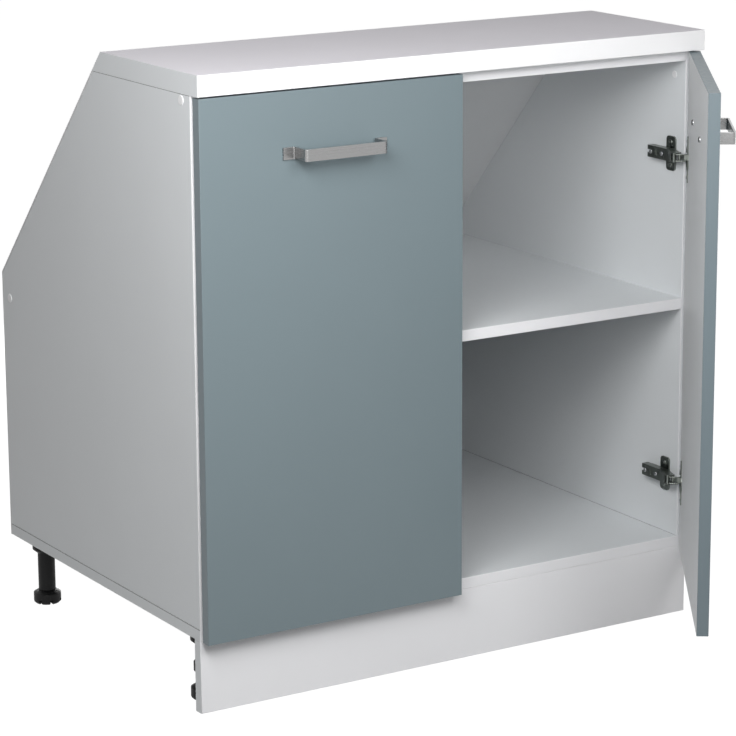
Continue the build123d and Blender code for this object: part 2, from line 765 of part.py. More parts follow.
def hinge_fastener_nodes():
    """Pins and screws of all four hinges that stay with the carcass."""
    places = [hinge_place(level) for level in hinge_levels.values()]
    makers = {"arm_pins": arm_pins, "hinge_plate_screws": plate_screws, "hinge_adjusting_screws": adjusting_screws}
    return {name: group(both_sides([place * piece for place in places for piece in make()]))
            for name, make in makers.items()}


def main():
    nodes = {**carcass_nodes(), **leg_nodes(), **hinge_fastener_nodes()}
    for side in door_rest_angle:
        nodes.update(door_nodes(side))
        nodes.update(hinge_nodes(side))
    os.makedirs("parts", exist_ok=True)
    for name, shape in nodes.items():
        export_step(shape, f"parts/{name}.step")


main()
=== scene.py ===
from math import cos, radians, sin

import bmesh
import bpy
from mathutils import Matrix, Vector


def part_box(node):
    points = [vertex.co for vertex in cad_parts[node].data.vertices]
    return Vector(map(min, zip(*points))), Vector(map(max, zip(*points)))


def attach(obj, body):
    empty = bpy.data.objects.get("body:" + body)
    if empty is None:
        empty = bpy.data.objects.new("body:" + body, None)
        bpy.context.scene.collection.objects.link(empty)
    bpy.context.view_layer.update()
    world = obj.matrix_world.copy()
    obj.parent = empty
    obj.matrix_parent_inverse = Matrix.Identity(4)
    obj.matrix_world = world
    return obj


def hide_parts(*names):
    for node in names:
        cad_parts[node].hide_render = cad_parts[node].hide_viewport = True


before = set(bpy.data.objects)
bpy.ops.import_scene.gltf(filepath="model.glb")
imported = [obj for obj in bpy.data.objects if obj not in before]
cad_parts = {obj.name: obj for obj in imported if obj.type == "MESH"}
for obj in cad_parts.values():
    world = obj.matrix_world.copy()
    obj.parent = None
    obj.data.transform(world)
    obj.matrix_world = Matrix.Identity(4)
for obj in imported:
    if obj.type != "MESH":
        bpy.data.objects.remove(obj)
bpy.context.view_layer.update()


# Side panels, bottom, shelf, rail and plinth. Chipboard, 16 mm, faced with white melamine that has a fine
# pearl texture, and edged in front with a smoother white band. They are screwed and dowelled together.

def paint(red, green, blue):
    """Linear colour of a finish read off as 0 to 255."""
    shares = [value / 255 for value in (red, green, blue)]
    return [share / 12.92 if share <= 0.04045 else ((share + 0.055) / 1.055) ** 2.4 for share in shares]


def add_node(tree, kind, inputs=None, **settings):
    """Node with its settings, and its inputs set to values or linked to sockets."""
    node = tree.nodes.new(kind)
    for name, value in settings.items():
        setattr(node, name, value)
    for name, value in (inputs or {}).items():
        if isinstance(value, bpy.types.NodeSocket):
            tree.links.new(value, node.inputs[name])
        else:
            node.inputs[name].default_value = value
    return node


def new_effect(name, inputs, outputs):
    """Empty shader group with its inputs, each (name, kind, value), and its outputs, each (name, kind)."""
    tree = bpy.data.node_groups.new(name, "ShaderNodeTree")
    for label, kind, value in inputs:
        socket = tree.interface.new_socket(label, in_out="INPUT", socket_type=f"NodeSocket{kind}")
        socket.default_value = value
    for label, kind in outputs:
        tree.interface.new_socket(label, in_out="OUTPUT", socket_type=f"NodeSocket{kind}")
    return tree, tree.nodes.new("NodeGroupInput").outputs, tree.nodes.new("NodeGroupOutput").inputs


def add_effect(tree, effect, **inputs):
    """Places a shader group in a material, and gives its outputs."""
    return add_node(tree, "ShaderNodeGroup", inputs, node_tree=effect).outputs


rubbed_edges, given, result = new_effect(
    "rubbed edges", [("Radius", "Float", 0.0006)], [("Mask", "Float"), ("Normal", "Vector")])
rounded = add_node(rubbed_edges, "ShaderNodeBevel", {"Radius": given["Radius"]}, samples=4)
flat = add_node(rubbed_edges, "ShaderNodeNewGeometry")
match = add_node(rubbed_edges, "ShaderNodeVectorMath", {0: rounded.outputs[0], 1: flat.outputs["Normal"]},
                 operation="DOT_PRODUCT")
mask = add_node(rubbed_edges, "ShaderNodeMapRange", {
    "Value": match.outputs["Value"], "From Min": 0.995, "From Max": 0.8, "To Min": 0.0, "To Max": 1.0})
rubbed_edges.links.new(mask.outputs[0], result["Mask"])
rubbed_edges.links.new(rounded.outputs[0], result["Normal"])

coarse_share = 0.12  # scale of the coarse grain, as a share of the fine grain's
grain_effect, given, result = new_effect(
    "grain", [("Place", "Vector", (0, 0, 0)), ("Size", "Float", 0.001), ("Stretch", "Vector", (1, 1, 1))],
    [("Fine", "Float"), ("Coarse", "Float")])
pulled = add_node(grain_effect, "ShaderNodeVectorMath", {0: given["Place"], 1: given["Stretch"]},
                  operation="DIVIDE")
sized = add_node(grain_effect, "ShaderNodeMath", {0: 1.0, 1: given["Size"]}, operation="DIVIDE")
fine = add_node(grain_effect, "ShaderNodeTexNoise", {
    "Vector": pulled.outputs[0], "Scale": sized.outputs[0], "Detail": 3.0, "Roughness": 0.6})
wide = add_node(grain_effect, "ShaderNodeMath", {0: sized.outputs[0], 1: coarse_share},
                operation="MULTIPLY")
coarse = add_node(grain_effect, "ShaderNodeTexNoise", {
    "Vector": pulled.outputs[0], "Scale": wide.outputs[0], "Detail": 2.0, "Roughness": 0.5})
grain_effect.links.new(fine.outputs["Fac"], result["Fine"])
grain_effect.links.new(coarse.outputs["Fac"], result["Coarse"])

drifting_tone, given, result = new_effect(
    "drifting tone",
    [("Place", "Vector", (0, 0, 0)), ("Tone", "Color", (1, 1, 1, 1)), ("Amount", "Float", 0.02)],
    [("Tone", "Color")])
clouds = add_node(drifting_tone, "ShaderNodeTexNoise", {
    "Vector": given["Place"], "Scale": 6.0, "Detail": 4.0, "Roughness": 0.55})
low = add_node(drifting_tone, "ShaderNodeMath", {0: 1.0, 1: given["Amount"]}, operation="SUBTRACT")
high = add_node(drifting_tone, "ShaderNodeMath", {0: 1.0, 1: given["Amount"]}, operation="ADD")
level = add_node(drifting_tone, "ShaderNodeMapRange", {
    "Value": clouds.outputs["Fac"], "From Min": 0.3, "From Max": 0.7,
    "To Min": low.outputs[0], "To Max": high.outputs[0]})
tone = add_node(drifting_tone, "ShaderNodeVectorMath", {0: given["Tone"], "Scale": level.outputs[0]},
                operation="SCALE")
drifting_tone.links.new(tone.outputs[0], result["Tone"])


edge_width = 0.0005  # of the rubbed line along an edge
rubbed_share = 0.8  # of its roughness that an edge keeps


def make_finish(name, tone, roughness, grain, bump, stretch=(1, 1, 1), drift=0.02, spread=0.08, rub=0.05,
                metallic=0.0):
    """Material with a drifting tone, grain in its gloss and relief, and edges rubbed smooth.

    grain and bump are in metres. drift is how far the tone strays, spread how far the roughness does, and
    rub how pale the edges are rubbed.
    """
    finish = bpy.data.materials.new(name)
    finish.use_nodes = True
    tree = finish.node_tree
    shader = tree.nodes["Principled BSDF"]
    shader.inputs["Metallic"].default_value = metallic
    place = add_node(tree, "ShaderNodeTexCoord").outputs["Object"]
    edges = add_effect(tree, rubbed_edges, Radius=edge_width)
    grains = add_effect(tree, grain_effect, Place=place, Size=grain, Stretch=stretch)
    base = add_effect(tree, drifting_tone, Place=place, Tone=(*paint(*tone), 1), Amount=drift)["Tone"]
    pale = [min(1, share * (1 + 4 * rub) + rub / 2) for share in paint(*tone)]
    worn = add_node(tree, "ShaderNodeMix", {0: edges["Mask"], 6: base, 7: (*pale, 1)}, data_type="RGBA")
    tree.links.new(worn.outputs[2], shader.inputs["Base Color"])
    gloss = add_node(tree, "ShaderNodeMapRange", {
        "Value": grains["Coarse"], "From Min": 0.3, "From Max": 0.7,
        "To Min": roughness - spread, "To Max": roughness + spread})
    smooth = add_node(tree, "ShaderNodeMix", {
        0: edges["Mask"], 2: gloss.outputs[0], 3: roughness * rubbed_share})
    tree.links.new(smooth.outputs[0], shader.inputs["Roughness"])
    relief = add_node(tree, "ShaderNodeBump", {
        "Height": grains["Fine"], "Normal": edges["Normal"], "Strength": 1.0, "Distance": bump})
    tree.links.new(relief.outputs[0], shader.inputs["Normal"])
    return finish


def dress(piece, *finishes, choose=None):
    """Gives a piece its finishes. choose says which one a face has, by its number."""
    mesh = piece.data
    mesh.materials.clear()
    for finish in finishes:
        mesh.materials.append(finish)
    for face in mesh.polygons:
        face.material_index = choose(face) if choose else 0


def in_front(face):
    """True for a face that looks towards the room."""
    return face.normal.y < -0.3


def select_only(piece):
    """Makes one piece the only selected and the active one."""
    bpy.ops.object.select_all(action="DESELECT")
    piece.select_set(True)
    bpy.context.view_layer.objects.active = piece


merge_distance = 0.000002


def joined_copy(node, name):
    """New piece with the shape of a CAD piece, its triangles joined up to whole faces."""
    piece = bpy.data.objects.new(name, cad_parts[node].data.copy())
    bpy.context.scene.collection.objects.link(piece)
    select_only(piece)
    bpy.ops.object.mode_set(mode="EDIT")
    bpy.ops.mesh.select_all(action="SELECT")
    bpy.ops.mesh.remove_doubles(threshold=merge_distance)
    bpy.ops.mesh.dissolve_limited(angle_limit=radians(1))
    bpy.ops.object.mode_set(mode="OBJECT")
    return piece


def pick(piece, kind, wanted):
    """Selects the wanted edges or faces of a piece that is open in edit mode."""
    bpy.ops.mesh.select_mode(type=kind)
    bpy.ops.mesh.select_all(action="DESELECT")
    shape = bmesh.from_edit_mesh(piece.data)
    for part in shape.edges if kind == "EDGE" else shape.faces:
        part.select_set(wanted(part))
    bmesh.update_edit_mesh(piece.data)


sharp_angle = radians(40)


def round_off(piece, width, steps=2, shortest=0.0):
    """Rounds off the sharp edges that are longer than a length."""
    select_only(piece)
    bpy.ops.object.mode_set(mode="EDIT")
    pick(piece, "EDGE", lambda edge: edge.calc_face_angle(0) > sharp_angle and edge.calc_length() > shortest)
    bpy.ops.mesh.bevel(offset=width, segments=steps, profile=0.5, clamp_overlap=True)
    bpy.ops.mesh.select_all(action="SELECT")
    bpy.ops.mesh.dissolve_degenerate(threshold=merge_distance)
    bpy.ops.object.mode_set(mode="OBJECT")


def fit_in(piece, body, slot, *nodes):
    """Shades a finished piece, its flats flat, and puts it on its body in the place of CAD pieces."""
    select_only(piece)
    bpy.ops.object.shade_smooth_by_angle(angle=radians(35))
    flats = piece.modifiers.new("flats", "WEIGHTED_NORMAL")
    flats.keep_sharp = True
    bpy.ops.object.modifier_apply(modifier=flats.name)
    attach(piece, body)
    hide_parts(*nodes)


bottom_joint = 0.116
worktop_joint = 0.822
joint_width = 0.0007
board_rounding = 0.0006
shortest_board_edge = 0.03


def board_face(face):
    """0 for melamine, 1 for the edge band in front, 2 for the joints at the side panels' ends, with painted
    shade and dust.
    """
    off_joint = min(abs(face.center.z - bottom_joint), abs(face.center.z - worktop_joint))
    in_joint = off_joint < joint_width and abs(face.normal.z) < 0.95
    return 2 if in_joint and abs(face.normal.x) > 0.2 else int(in_front(face))


white_melamine = make_finish("white melamine", (228, 231, 233), 0.42, 0.0006, 0.000006,
                             drift=0.012, spread=0.03)
white_band = make_finish("white edge band", (242, 242, 244), 0.32, 0.0006, 0.000003,
                         drift=0.008, spread=0.02)
# Dark grey for the joints between boards: painted shade, where a gap would fall dark, with some dust.
joint_shade_and_dust = make_finish("joint with painted shade and dust", (96, 96, 97), 0.7, 0.0006, 0.000006, drift=0.1)
for board in ("left_side_panel", "right_side_panel", "bottom_panel", "shelf", "front_rail", "plinth_board"):
    edged = joined_copy(board, f"edged_{board}")
    round_off(edged, board_rounding, shortest=shortest_board_edge)
    dress(edged, white_melamine, white_band, joint_shade_and_dust, choose=board_face)
    fit_in(edged, "carcass", "white_board", board)


# Back panels. Hardboard, 3 mm, lacquered white inside and bare brown outside with the screen pattern that
# the press leaves. They are nailed to the rear edges.

def outside(face):
    """True for a face that looks to the rear or up the slope."""
    return face.normal.y > 0.5


white_lacquer = make_finish("white lacquered hardboard", (222, 223, 224), 0.55, 0.0012, 0.00003)
bare_hardboard = make_finish("bare hardboard", (128, 92, 62), 0.8, 0.0011, 0.00012, drift=0.12, spread=0.05)
for panel in ("lower_back_panel", "sloped_back_panel"):
    dress(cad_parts[panel], white_lacquer, bare_hardboard, choose=outside)


# Worktop. Chipboard, 28 mm, with a pale grey laminate on top and white bands on its edges. It is screwed
# from below through the rail and dowelled to the sides.

def worktop_face(face):
    """0 for the laminate on top, 1 for bright bands, 2 for the ends and the underside, 3 for the joint, with
    painted shade and dust.
    """
    if face.normal.z > 0.9:
        return 0
    at_end = abs(face.normal.x) > 0.2
    if at_end and face.center.z < worktop_joint + joint_width:
        return 3
    return 2 if at_end or face.normal.z < -0.9 else 1


grey_laminate = make_finish("pale grey laminate", (238, 235, 241), 0.62, 0.0009, 0.00001,
                            drift=0.015, spread=0.03)
bright_band = make_finish("worktop edge band", (250, 250, 251), 0.34, 0.0008, 0.000003,
                          drift=0.006, spread=0.02)
worktop = joined_copy("worktop", "banded_worktop")
round_off(worktop, board_rounding, shortest=shortest_board_edge)
dress(worktop, grey_laminate, bright_band, white_melamine, joint_shade_and_dust, choose=worktop_face)
fit_in(worktop, "carcass", "worktop_laminate", "worktop")


# Doors. Fibreboard, 16 mm, with a satin blue-grey foil in front and on the edges, where it is a little
# darker with painted shade, and a pale grey face inside. Each hangs on two hinges. A place on a door is
# given across it from its hinge edge, out from its inner face towards the room, and up from the floor.

door_turns = {"left": 0.0, "right": radians(55.7)}
hinge_corners = {"left": Vector((-0.3985, -0.012, 0)), "right": Vector((0.385441, -0.012097, 0))}


def across_door(side):
    """Direction from a door's hinge edge to its free edge."""
    return Matrix.Rotation(door_turns[side], 3, "Z") @ Vector((1 if side == "left" else -1, 0, 0))


def out_of_door(side):
    """Direction from a door's inner face towards the room."""
    return Matrix.Rotation(door_turns[side], 3, "Z") @ Vector((0, -1, 0))


def on_door(side, across, out, level):
    """Point on a door."""
    return hinge_corners[side] + across * across_door(side) + out * out_of_door(side) + Vector((0, 0, level))


def door_face(side):
    """Chooser for a door: 0 for the front foil, 1 for the inner face, 2 for the edges with painted shade."""
    out = out_of_door(side)

    def choose(face):
        facing = face.normal.dot(out)
        if facing > 0.7:
            return 0
        return 1 if facing < -0.99 else 2

    return choose


door_foil = make_finish("blue-grey foil", (115, 129, 134), 0.44, 0.0007, 0.000006, drift=0.012, spread=0.04)
door_back = make_finish("pale grey door back", (224, 225, 226), 0.5, 0.0009, 0.00001,
                        drift=0.012, spread=0.03)
# The edge foil is the front foil a little darker: painted shade on the door's edges.
door_edge_shade = make_finish("blue-grey foil with painted shade", (109, 122, 128), 0.4, 0.0007, 0.000006,
                        drift=0.012, spread=0.04)
door_rounding = 0.0004
for side in door_turns:
    door = joined_copy(f"{side}_door_panel", f"wrapped_{side}_door")
    round_off(door, door_rounding, shortest=shortest_board_edge)
    dress(door, door_foil, door_back, door_edge_shade, choose=door_face(side))
    fit_in(door, f"{side}_door", "grey_door", f"{side}_door_panel")


# Handles. Steel strap, 16 x 3 mm, bent to a bow with a tab turned outward at each end, brushed along its
# length and nickel plated. It is drawn on the left door, and its copy is turned to the open right door.

strap = 0.003
strap_height = 0.016
half_length = 0.078
half_bow = 0.0605
bow_out = 0.0285
bend = 0.0032
handle_across = 0.1985
handle_level = 0.740
door_thickness = 0.016
handle_rounding = 0.0005


def run_on(step):
    """Carries the end of the strap on in a straight line."""
    bpy.ops.mesh.extrude_region_move(TRANSFORM_OT_translate={"value": step})


def bend_round(centre, angle):
    """Bends the end of the strap about an upright axis."""
    bpy.ops.mesh.spin(steps=6, angle=radians(angle), center=centre, axis=(0, 0, 1))


def copy_of(piece):
    """Copy of a piece, with a mesh of its own."""
    copy = piece.copy()
    copy.data = piece.data.copy()
    bpy.context.scene.collection.objects.link(copy)
    return copy


middle = on_door("left", handle_across, door_thickness + strap / 2, handle_level)
tab_end = middle - Vector((half_length, 0, 0))
tab_bend = half_bow + bend
bow_bend = half_bow - bend
leg_run = bow_out - 2 * bend
bpy.ops.object.select_all(action="DESELECT")
bpy.ops.mesh.primitive_plane_add(size=1, location=tab_end, rotation=(0, radians(-90), 0))
handle = bpy.context.object
handle.name = "left_bow_handle"
bpy.ops.object.transform_apply(location=True, rotation=True, scale=True)
bpy.ops.object.mode_set(mode="EDIT")
bpy.ops.mesh.select_all(action="SELECT")
bpy.ops.transform.resize(value=(1, strap, strap_height), center_override=tab_end)
run_on((half_length - tab_bend, 0, 0))
bend_round(middle + Vector((-tab_bend, -bend, 0)), 90)
run_on((0, -leg_run, 0))
bend_round(middle + Vector((-bow_bend, bend - bow_out, 0)), -90)
run_on((2 * bow_bend, 0, 0))
bend_round(middle + Vector((bow_bend, bend - bow_out, 0)), -90)
run_on((0, leg_run, 0))
bend_round(middle + Vector((tab_bend, -bend, 0)), 90)
run_on((half_length - tab_bend, 0, 0))
bpy.ops.mesh.select_all(action="SELECT")
bpy.ops.mesh.remove_doubles(threshold=merge_distance)
bpy.ops.mesh.normals_make_consistent(inside=False)
bpy.ops.object.mode_set(mode="OBJECT")
round_off(handle, handle_rounding)
second = copy_of(handle)
second.name = "right_bow_handle"
to_origin = Matrix.Translation(-on_door("left", handle_across, 0, 0))
turn = Matrix.Rotation(door_turns["right"], 4, "Z")
second.data.transform(Matrix.Translation(on_door("right", handle_across, 0, 0)) @ turn @ to_origin)
brushed_nickel = make_finish("brushed nickel", (156, 156, 156), 0.28, 0.0003, 0.0000006, stretch=(90, 90, 1),
                             drift=0.03, metallic=1.0, rub=0.14, spread=0.03)
for side, piece in {"left": handle, "right": second}.items():
    dress(piece, brushed_nickel)
    fit_in(piece, f"{side}_door", "brushed_nickel", f"{side}_handle")


# Hinges. Pressed and drawn steel with a dark nickel plating: a plate screwed to the side panel, the arm on
# it, two links, and the cup in the door. The pressed edges are slightly rounded, and each arm has a slot
# punched between its two screws.

hands = {"left": -1, "right": 1}
slot_from_middle = 0.3697
slot_depth = 0.0365
slot_size = (0.0026, 0.0032, 0.009)
slot_rounding = 0.0015
pressed_rounding = 0.0002


def begin_bar(place, size):
    """New bar of a size round a place, left open in edit mode with all of it selected."""
    bpy.ops.object.select_all(action="DESELECT")
    bpy.ops.mesh.primitive_cube_add(size=1, location=place)
    bar = bpy.context.object
    bpy.ops.object.transform_apply(location=True, rotation=True, scale=True)
    bpy.ops.object.mode_set(mode="EDIT")
    bpy.ops.mesh.select_all(action="SELECT")
    bpy.ops.transform.resize(value=size, center_override=place)
    return bar


def cut_out(piece, punch):
    """Cuts the shape of a punch out of a piece, and takes the punch away."""
    cut = piece.modifiers.new("cut", "BOOLEAN")
    cut.object = punch
    select_only(piece)
    bpy.ops.object.modifier_apply(modifier=cut.name)
    bpy.data.objects.remove(punch)


def runs_sideways(edge):
    """True for an edge that runs across the cabinet."""
    along = edge.verts[0].co - edge.verts[1].co
    return abs(along.x) > slot_size[0] / 2


def pierce_arm(arm, side, level):
    """Punches the upright slot between the two screws of a hinge arm."""
    punch = begin_bar(Vector((hands[side] * slot_from_middle, slot_depth, level)), slot_size)
    pick(punch, "EDGE", runs_sideways)
    bpy.ops.mesh.bevel(offset=slot_rounding, segments=5, profile=0.5, clamp_overlap=True)
    bpy.ops.object.mode_set(mode="OBJECT")
    cut_out(arm, punch)


dark_nickel = make_finish("dark nickel", (126, 131, 126), 0.34, 0.0008, 0.000006,
                          drift=0.06, metallic=1.0, rub=0.1)
hinge_levels = {"upper": 0.672, "lower": 0.204}
hinge_parts = {"hinge_cup": "door", "hinge_plate": None, "hinge_arm": None, "outer_link": "outer_links",
               "inner_link": "inner_links"}
for side in door_turns:
    for level in hinge_levels:
        for part, body in hinge_parts.items():
            node = f"{side}_{level}_{part}"
            pressed = joined_copy(node, f"pressed_{node}")
            if part == "hinge_arm":
                pierce_arm(pressed, side, hinge_levels[level])
            round_off(pressed, pressed_rounding)
            dress(pressed, dark_nickel)
            fit_in(pressed, f"{side}_{body}" if body else "carcass", "dark_nickel", node)
    dress(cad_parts[f"{side}_cup_pins"], dark_nickel)
dress(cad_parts["arm_pins"], dark_nickel)


# Screws. Steel, zinc plated or plated dark as the hinges are, with a cross recess. Each kind is turned and
# cut once, and its copies are set with their heads where the CAD has them. The steps are how far the screws
# of a pair sit to either side of their middle.

round_sides = 32


def turned_piece(name, points):
    """Piece turned about an upright axis, drawn from a disc through (radius, height) points."""
    radius, level = points[0]
    bpy.ops.object.select_all(action="DESELECT")
    bpy.ops.mesh.primitive_circle_add(vertices=round_sides, radius=radius, fill_type="NGON",
                                      location=(0, 0, level))
    piece = bpy.context.object
    piece.name = name
    bpy.ops.object.transform_apply(location=True, rotation=True, scale=True)
    bpy.ops.object.mode_set(mode="EDIT")
    bpy.ops.mesh.select_all(action="SELECT")
    for next_radius, next_level in points[1:]:
        bpy.ops.mesh.extrude_region_move(TRANSFORM_OT_translate={"value": (0, 0, next_level - level)})
        share = next_radius / radius
        bpy.ops.transform.resize(value=(share, share, 1), center_override=(0, 0, next_level))
        radius, level = next_radius, next_level
    bpy.ops.mesh.select_all(action="SELECT")
    bpy.ops.mesh.normals_make_consistent(inside=False)
    bpy.ops.object.mode_set(mode="OBJECT")
    return piece


def sink_cross(screw, top, reach, width, depth):
    """Sinks a cross recess, narrower at its bottom, in the head of a screw."""
    for angle in (0, 90):
        bar = begin_bar((0, 0, top), (2 * reach, width, 2 * depth))
        pick(bar, "FACE", lambda face: face.normal.z < -0.9)
        bpy.ops.transform.resize(value=(0.45, 0.7, 1), center_override=(0, 0, top - depth))
        bpy.ops.mesh.select_all(action="SELECT")
        bpy.ops.transform.rotate(value=radians(angle), orient_axis="Z", center_override=(0, 0, top))
        bpy.ops.object.mode_set(mode="OBJECT")
        cut_out(screw, bar)


def pan_screw(name, head, rise, shank, length):
    """Screw with a low round head that stands on the face at height 0."""
    shaft = [(0.3 * shank, rise - length), (shank, rise - length + shank), (shank, 0)]
    domed = [(head, 0), (head, 0.45 * rise), (0.93 * head, 0.72 * rise), (0.78 * head, 0.9 * rise),
             (0.5 * head, rise)]
    screw = turned_piece(name, shaft + domed)
    sink_cross(screw, rise, 0.55 * head, 0.22 * head, 0.6 * rise)
    return screw


def flat_screw(name, head, sink, shank, length, crown=0.0):
    """Countersunk screw whose head is flush with the face at height 0, or has a raised crown on it."""
    shaft = [(0.3 * shank, -length), (shank, shank - length), (shank, -sink)]
    rim = [(head, -0.0002), (0.95 * head, 0)]
    domed = [(0.75 * head, 0.65 * crown), (0.4 * head, crown)] if crown else []
    screw = turned_piece(name, shaft + rim + domed)
    sink_cross(screw, crown, 0.6 * head, 0.22 * head, 0.6 * sink + crown)
    return screw


def set_copies(piece, spots):
    """Copies of an upright piece, each set at a (place, outward) spot, joined to one piece."""
    copies = []
    for place, outward in spots:
        copy = copy_of(piece)
        turn = Vector(outward).to_track_quat("Z", "Y").to_matrix().to_4x4()
        copy.data.transform(Matrix.Translation(place) @ turn)
        copies.append(copy)
    name = piece.name
    bpy.data.objects.remove(piece)
    select_only(copies[0])
    for copy in copies:
        copy.select_set(True)
    bpy.ops.object.join()
    copies[0].name = name
    return copies[0]


rim_height = 0.0006  # of a setting screw
bolt_rim_height = 0.001  # of a handle bolt


def setting_screw_shade(face):
    """0 for the crown of a setting screw, 1 for its rim, shank and recess, dark with painted shade."""
    return int(face.normal.z < 0.35 or face.center.z < rim_height)


def bolt_head_shade(face):
    """0 for the rim and the flat crown of a handle bolt, 1 for its slopes and recess, with painted shade."""
    on_rim = abs(face.normal.z) <= 0.2 and 0 < face.center.z < bolt_rim_height
    return int(face.normal.z < 0.9 and not on_rim)


zinc = make_finish("zinc plated steel", (186, 188, 190), 0.28, 0.0006, 0.000006, drift=0.06, metallic=1.0)
# Dark zinc for the rims, slopes and recesses of screw heads: painted shade and painted dark reflection.
zinc_shade = make_finish("zinc with painted shade", (48, 49, 50), 0.5, 0.0006, 0.000006, drift=0.06, metallic=1.0)
handle_screw_step = 0.0705
cup_screw_across = 0.028
cup_screw_step = 0.026
cup_flange = 0.0015
for side in door_turns:
    inward = -out_of_door(side)
    screw = pan_screw(f"{side}_handle_bolts", head=0.004, rise=0.0031, shank=0.002, length=0.0214)
    dress(screw, zinc, zinc_shade, choose=bolt_head_shade)
    heads = [(on_door(side, handle_across + step, 0, handle_level), inward)
             for step in (-handle_screw_step, handle_screw_step)]
    fit_in(set_copies(screw, heads), f"{side}_door", "zinc_steel", f"{side}_handle_screws")
    screw = flat_screw(f"{side}_cup_bolts", head=0.0036, sink=0.0015, shank=0.00175, length=0.014,
                       crown=0.0009)
    dress(screw, zinc)
    heads = [(on_door(side, cup_screw_across, -cup_flange, level + step), inward)
             for level in hinge_levels.values() for step in (-cup_screw_step, cup_screw_step)]
    fit_in(set_copies(screw, heads), f"{side}_door", "zinc_steel", f"{side}_cup_screws")

plate_face = 0.3815  # of the hinge plates' wings, from the middle of the cabinet
plate_screw_depth = 0.020
plate_screw_step = 0.016
screw = pan_screw("hinge_plate_bolts", head=0.004, rise=0.0018, shank=0.0025, length=0.015)
dress(screw, dark_nickel)
heads = [((hand * plate_face, plate_screw_depth, level + step), (-hand, 0, 0))
         for hand in hands.values() for level in hinge_levels.values()
         for step in (-plate_screw_step, plate_screw_step)]
fit_in(set_copies(screw, heads), "carcass", "dark_nickel", "hinge_plate_screws")
arm_face = 0.369  # of the hinge arms, from the middle of the cabinet
setting_screw_depths = (0.024, 0.049)
screw = pan_screw("hinge_setting_bolts", head=0.0032, rise=0.0018, shank=0.002, length=0.0115)
dress(screw, zinc, zinc_shade, choose=setting_screw_shade)
heads = [((hand * arm_face, depth, level), (-hand, 0, 0))
         for hand in hands.values() for level in hinge_levels.values() for depth in setting_screw_depths]
fit_in(set_copies(screw, heads), "carcass", "zinc_steel", "hinge_adjusting_screws")
side_middle = 0.392  # of the thickness of the side panels, from the middle of the cabinet
side_face = 0.4
underside = 0.1
bottom_screw_depths = (0.042, 0.282, 0.522)
rail_and_shelf_screws = ((0.0148, 0.814), (0.5476, 0.460))  # depth and level
screw = flat_screw("carcass_bolts", head=0.0045, sink=0.0035, shank=0.0025, length=0.05)
dress(screw, zinc)
heads = [((hand * side_middle, depth, underside), (0, 0, -1))
         for hand in hands.values() for depth in bottom_screw_depths]
heads += [((hand * side_face, depth, level), (hand, 0, 0))
          for hand in hands.values() for depth, level in rail_and_shelf_screws]
fit_in(set_copies(screw, heads), "carcass", "zinc_steel", "carcass_screws")
worktop_screw_columns = (-0.25, 0.0, 0.25)
worktop_screw_depth = 0.04
rail_underside = 0.806
screw = flat_screw("worktop_bolts", head=0.004, sink=0.0028, shank=0.0019, length=0.032)
dress(screw, zinc)
heads = [((column, worktop_screw_depth, rail_underside), (0, 0, -1)) for column in worktop_screw_columns]
fit_in(set_copies(screw, heads), "carcass", "zinc_steel", "worktop_screws")
clip_middle = 0.3635  # of the plinth clips, from the middle of the cabinet
clip_screw_step = 0.014
clip_face_depth = 0.011
clip_screw_level = 0.045
screw = flat_screw("clip_bolts", head=0.0034, sink=0.0022, shank=0.0016, length=0.013)
dress(screw, zinc)
heads = [((hand * clip_middle + step, clip_face_depth, clip_screw_level), (0, 1, 0))
         for hand in hands.values() for step in (-clip_screw_step, clip_screw_step)]
fit_in(set_copies(screw, heads), "carcass", "zinc_steel", "plinth_clip_screws")
dress(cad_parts["back_panel_nails"], zinc)


# Dowels. Turned from beech, 8 mm thick, and glued half into the end of one board and half into the next,
# where they keep the two in line.

beech = make_finish("beech", (206, 172, 130), 0.6, 0.0005, 0.00004, stretch=(20, 1, 1), drift=0.08)
dress(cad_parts["dowels"], beech)


# Caps. Small round caps, moulded in white plastic and pressed in by hand, over the screw heads outside and
# into the spare holes inside.

white_plastic = make_finish("white plastic", (246, 246, 247), 0.3, 0.0008, 0.000004, drift=0.01, spread=0.03)
cap_rounding = 0.0003
for caps in ("screw_caps", "inner_hole_caps"):
    domed = joined_copy(caps, f"moulded_{caps}")
    round_off(domed, cap_rounding, steps=3)
    dress(domed, white_plastic)
    fit_in(domed, "carcass", "white_plastic", caps)


# Legs, feet and plinth clips. Moulded black plastic with a fine spark-eroded texture. The legs are pressed
# into the bottom, the feet screw out to level the unit, and the clips hold the plinth to the front legs.

black_plastic = make_finish("black plastic", (11, 11, 12), 0.56, 0.0008, 0.00001,
                            drift=0.05, rub=0.004, spread=0.05)
black_plastic.node_tree.nodes["Principled BSDF"].inputs["Specular IOR Level"].default_value = 0.22
foot_turn = radians(-23)
notch_count = 7
first_notch = 6  # degrees
notch_from_axis = 0.0155
notch_size = (0.013, 0.0042, 0.013)
thread_pitch = 0.004
thread_turns = 10
thread_radius = 0.0099
core_radius = 0.0091
ridge_radius = 0.0011
stem_level = 0.0205
thread_level = 0.0225
leg_rounding = 0.0005
foot_rounding = 0.0004


def deepen_notches(foot, axis):
    """Deepens the grip notches in the rim of a foot, up from the floor."""
    for number in range(notch_count):
        angle = radians(first_notch + number * 360 / notch_count)
        place = axis + notch_from_axis * Vector((cos(angle), sin(angle), 0))
        bpy.ops.mesh.primitive_cube_add(size=1, location=place, rotation=(0, 0, angle), scale=notch_size)
        if number == 0:
            bars = bpy.context.object
            bpy.ops.object.transform_apply(location=True, rotation=True, scale=True)
            bpy.ops.object.mode_set(mode="EDIT")
    bpy.ops.object.mode_set(mode="OBJECT")
    cut_out(foot, bars)


def thin_stem(foot, axis):
    """Draws the stem of a foot in to the core of its thread."""
    for point in foot.data.vertices:
        if point.co.z > stem_level:
            out = point.co - axis
            out.z = 0
            if out.length > core_radius:
                point.co -= out * (1 - core_radius / out.length)


